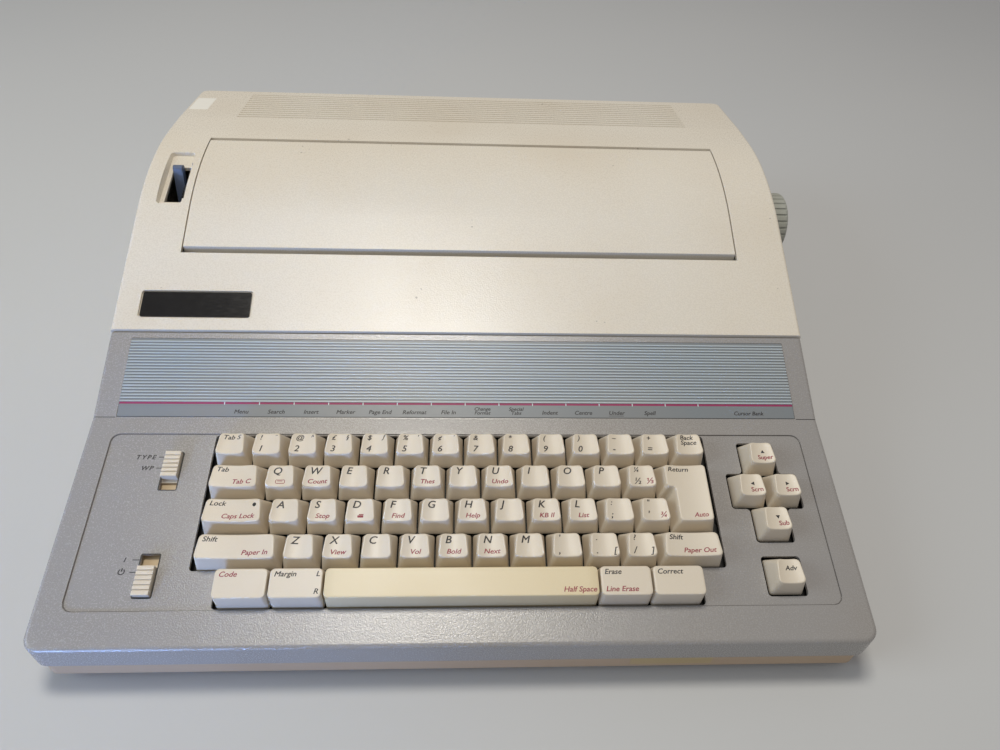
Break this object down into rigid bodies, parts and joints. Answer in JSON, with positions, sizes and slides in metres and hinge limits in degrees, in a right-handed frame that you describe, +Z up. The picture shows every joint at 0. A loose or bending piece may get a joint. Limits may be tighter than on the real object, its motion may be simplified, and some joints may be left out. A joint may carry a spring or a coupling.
{
  "type": "electronic word processor",
  "caption": "Desktop electronic word processor with a sloped keyboard deck, a lidded daisy-wheel printer and a platen knob.",
  "frame": {"origin": "middle of the footprint of the whole machine with its knob, at the undersides of the feet", "axes": "+Z up, -Y towards the typist, +X to the typist's right"},
  "size_m": [0.424, 0.42, 0.1258],
  "materials": {
    "cream_shell": "fine sand texture",
    "grey_deck": "fine sand texture",
    "beige_tray": "fine sand texture",
    "ivory_keys": "satin moulded",
    "blue_grey_strip": "fine ribs, satin",
    "black_badge": "smooth gloss",
    "grey_knob": "satin moulded",
    "blue_lever": "satin moulded",
    "black_mouldings": "fine texture",
    "white_nylon": "satin moulded",
    "black_rubber": "ground rubber",
    "zinc_steel": "zinc plated sheet and ground bar",
    "motor_steel": "drawn cans and stacked plates",
    "green_board": "varnished laminate"
  },
  "bodies": {
    "case": {"badge_plate": "black_badge", "base_tray": "beige_tray", "carriage_belt": "black_rubber", "carriage_motor": "motor_steel", "case_screws": "zinc_steel", "function_strip": "blue_grey_strip", "guide_rod": "zinc_steel", "key_plate": "black_mouldings", "keyboard_board": "green_board", "keyboard_deck": "grey_deck", "lid_hinge_pins": "zinc_steel", "line_feed_motor": "motor_steel", "main_board": "green_board", "monitor_port": "black_mouldings", "paper_pan": "zinc_steel", "platen_bushes": "white_nylon", "power_inlet": "black_mouldings", "power_transformer": "motor_steel", "rear_rail": "zinc_steel", "rubber_feet": "black_rubber", "side_frames": "zinc_steel", "switch_housings": "black_mouldings", "upper_case": "cream_shell"},
    "lid": {"lid": "cream_shell"},
    "platen": {"platen_roller": "black_rubber", "platen_shaft": "zinc_steel", "platen_knob": "grey_knob", "platen_gear": "white_nylon"},
    "pinion": {"feed_pinion": "white_nylon"},
    "feed": {"feed_rollers": "black_rubber"},
    "bail": {"bail_frame": "zinc_steel"},
    "bail_wheels": {"bail_rollers": "black_rubber"},
    "lever": {"release_lever": "blue_lever"},
    "carriage": {"carriage_frame": "zinc_steel", "wheel_motor": "motor_steel", "hammer_coil": "motor_steel", "ribbon_cassette": "black_mouldings"},
    "wheel": {"daisy_wheel": "white_nylon"},
    "hammer": {"print_hammer": "zinc_steel"},
    "drive": {"drive_pulley": "white_nylon"},
    "idler": {"idler_pulley": "white_nylon"},
    "mode_switch": {"mode_slider": "cream_shell"},
    "power_switch": {"power_slider": "cream_shell"},
    "number_row_keys": {"number_row_keys": "ivory_keys"},
    "upper_row_keys": {"upper_row_keys": "ivory_keys"},
    "home_row_keys": {"home_row_keys": "ivory_keys"},
    "lower_row_keys": {"lower_row_keys": "ivory_keys"},
    "cursor_keys": {"cursor_keys": "ivory_keys"},
    "paper_advance_key": {"paper_advance_key": "ivory_keys"},
    "tab_key": {"tab_key": "ivory_keys"},
    "lock_key": {"lock_key": "ivory_keys"},
    "left_shift_key": {"left_shift_key": "ivory_keys"},
    "right_shift_key": {"right_shift_key": "ivory_keys"},
    "return_key": {"return_key": "ivory_keys"},
    "code_key": {"code_key": "ivory_keys"},
    "margin_key": {"margin_key": "ivory_keys"},
    "space_bar": {"space_bar": "ivory_keys"},
    "word_erase_key": {"word_erase_key": "ivory_keys"},
    "correct_key": {"correct_key": "ivory_keys"}
  },
  "joints": [
    {"name": "lid_hinge", "type": "hinge", "parent": "case", "child": "lid", "pos_m": [-0.006, 0.1076, 0.12243], "axis": [-1, 0, 0], "range_deg": [0, 95]},
    {"name": "platen_turn", "type": "hinge", "parent": "case", "child": "platen", "pos_m": [-0.006, 0.0665, 0.0945], "axis": [1, 0, 0], "continuous": true},
    {"name": "pinion_turn", "type": "hinge", "parent": "case", "child": "pinion", "pos_m": [-0.006, 0.0791, 0.07268], "axis": [1, 0, 0], "continuous": true},
    {"name": "feed_turn", "type": "hinge", "parent": "case", "child": "feed", "pos_m": [-0.006, 0.05921, 0.07448], "axis": [1, 0, 0], "continuous": true},
    {"name": "bail_swing", "type": "hinge", "parent": "case", "child": "bail", "pos_m": [-0.006, 0.04987, 0.072], "axis": [1, 0, 0], "range_deg": [0, 20]},
    {"name": "bail_wheels_turn", "type": "hinge", "parent": "bail", "child": "bail_wheels", "pos_m": [-0.006, 0.04987, 0.10614], "axis": [1, 0, 0], "continuous": true},
    {"name": "lever_swing", "type": "hinge", "parent": "case", "child": "lever", "pos_m": [-0.006, 0.06, 0.06], "axis": [1, 0, 0], "range_deg": [0, 22]},
    {"name": "carriage_slide", "type": "slide", "parent": "case", "child": "carriage", "axis": [1, 0, 0], "range_m": [-0.108, 0.108]},
    {"name": "wheel_turn", "type": "hinge", "parent": "carriage", "child": "wheel", "pos_m": [-0.006, 0.046, 0.0615], "axis": [0, 1, 0], "continuous": true},
    {"name": "hammer_stroke", "type": "slide", "parent": "carriage", "child": "hammer", "axis": [0, 1, 0], "range_m": [0, 0.002], "stiffness_N_per_m": 150, "springref_m": -0.001},
    {"name": "drive_turn", "type": "hinge", "parent": "case", "child": "drive", "pos_m": [0.144, -0.015, 0], "axis": [0, 0, 1], "continuous": true},
    {"name": "idler_turn", "type": "hinge", "parent": "case", "child": "idler", "pos_m": [-0.156, -0.015, 0], "axis": [0, 0, 1], "continuous": true},
    {"name": "mode_slide", "type": "slide", "parent": "case", "child": "mode_switch", "axis": [0, 0.9781, 0.2079], "range_m": [-0.0063, 0]},
    {"name": "power_slide", "type": "slide", "parent": "case", "child": "power_switch", "axis": [0, 0.9781, 0.2079], "range_m": [0, 0.0063]},
    {"name": "number_row_keys_press", "type": "slide", "parent": "case", "child": "number_row_keys", "axis": [0, 0.2079, -0.9781], "range_m": [0, 0.0035], "stiffness_N_per_m": 2800, "springref_m": -0.002},
    {"name": "upper_row_keys_press", "type": "slide", "parent": "case", "child": "upper_row_keys", "axis": [0, 0.2079, -0.9781], "range_m": [0, 0.0035], "stiffness_N_per_m": 2200, "springref_m": -0.002},
    {"name": "home_row_keys_press", "type": "slide", "parent": "case", "child": "home_row_keys", "axis": [0, 0.2079, -0.9781], "range_m": [0, 0.0035], "stiffness_N_per_m": 2200, "springref_m": -0.002},
    {"name": "lower_row_keys_press", "type": "slide", "parent": "case", "child": "lower_row_keys", "axis": [0, 0.2079, -0.9781], "range_m": [0, 0.0035], "stiffness_N_per_m": 2000, "springref_m": -0.002},
    {"name": "cursor_keys_press", "type": "slide", "parent": "case", "child": "cursor_keys", "axis": [0, 0.2079, -0.9781], "range_m": [0, 0.0035], "stiffness_N_per_m": 800, "springref_m": -0.002},
    {"name": "paper_advance_key_press", "type": "slide", "parent": "case", "child": "paper_advance_key", "axis": [0, 0.2079, -0.9781], "range_m": [0, 0.0035], "stiffness_N_per_m": 200, "springref_m": -0.002},
    {"name": "tab_key_press", "type": "slide", "parent": "case", "child": "tab_key", "axis": [0, 0.2079, -0.9781], "range_m": [0, 0.0035], "stiffness_N_per_m": 200, "springref_m": -0.002},
    {"name": "lock_key_press", "type": "slide", "parent": "case", "child": "lock_key", "axis": [0, 0.2079, -0.9781], "range_m": [0, 0.0035], "stiffness_N_per_m": 200, "springref_m": -0.002},
    {"name": "left_shift_key_press", "type": "slide", "parent": "case", "child": "left_shift_key", "axis": [0, 0.2079, -0.9781], "range_m": [0, 0.0035], "stiffness_N_per_m": 200, "springref_m": -0.002},
    {"name": "right_shift_key_press", "type": "slide", "parent": "case", "child": "right_shift_key", "axis": [0, 0.2079, -0.9781], "range_m": [0, 0.0035], "stiffness_N_per_m": 200, "springref_m": -0.002},
    {"name": "return_key_press", "type": "slide", "parent": "case", "child": "return_key", "axis": [0, 0.2079, -0.9781], "range_m": [0, 0.0035], "stiffness_N_per_m": 400, "springref_m": -0.002},
    {"name": "code_key_press", "type": "slide", "parent": "case", "child": "code_key", "axis": [0, 0.2079, -0.9781], "range_m": [0, 0.0035], "stiffness_N_per_m": 200, "springref_m": -0.002},
    {"name": "margin_key_press", "type": "slide", "parent": "case", "child": "margin_key", "axis": [0, 0.2079, -0.9781], "range_m": [0, 0.0035], "stiffness_N_per_m": 200, "springref_m": -0.002},
    {"name": "space_bar_press", "type": "slide", "parent": "case", "child": "space_bar", "axis": [0, 0.2079, -0.9781], "range_m": [0, 0.0035], "stiffness_N_per_m": 400, "springref_m": -0.002},
    {"name": "word_erase_key_press", "type": "slide", "parent": "case", "child": "word_erase_key", "axis": [0, 0.2079, -0.9781], "range_m": [0, 0.0035], "stiffness_N_per_m": 200, "springref_m": -0.002},
    {"name": "correct_key_press", "type": "slide", "parent": "case", "child": "correct_key", "axis": [0, 0.2079, -0.9781], "range_m": [0, 0.0035], "stiffness_N_per_m": 200, "springref_m": -0.002}
  ],
  "couplings": [
    {"joint": "pinion_turn", "follows": "platen_turn", "ratio": -3},
    {"joint": "feed_turn", "follows": "platen_turn", "ratio": -3.2},
    {"joint": "drive_turn", "follows": "carriage_slide", "rad_per_m": -144.93},
    {"joint": "idler_turn", "follows": "carriage_slide", "rad_per_m": -144.93}
  ]
}
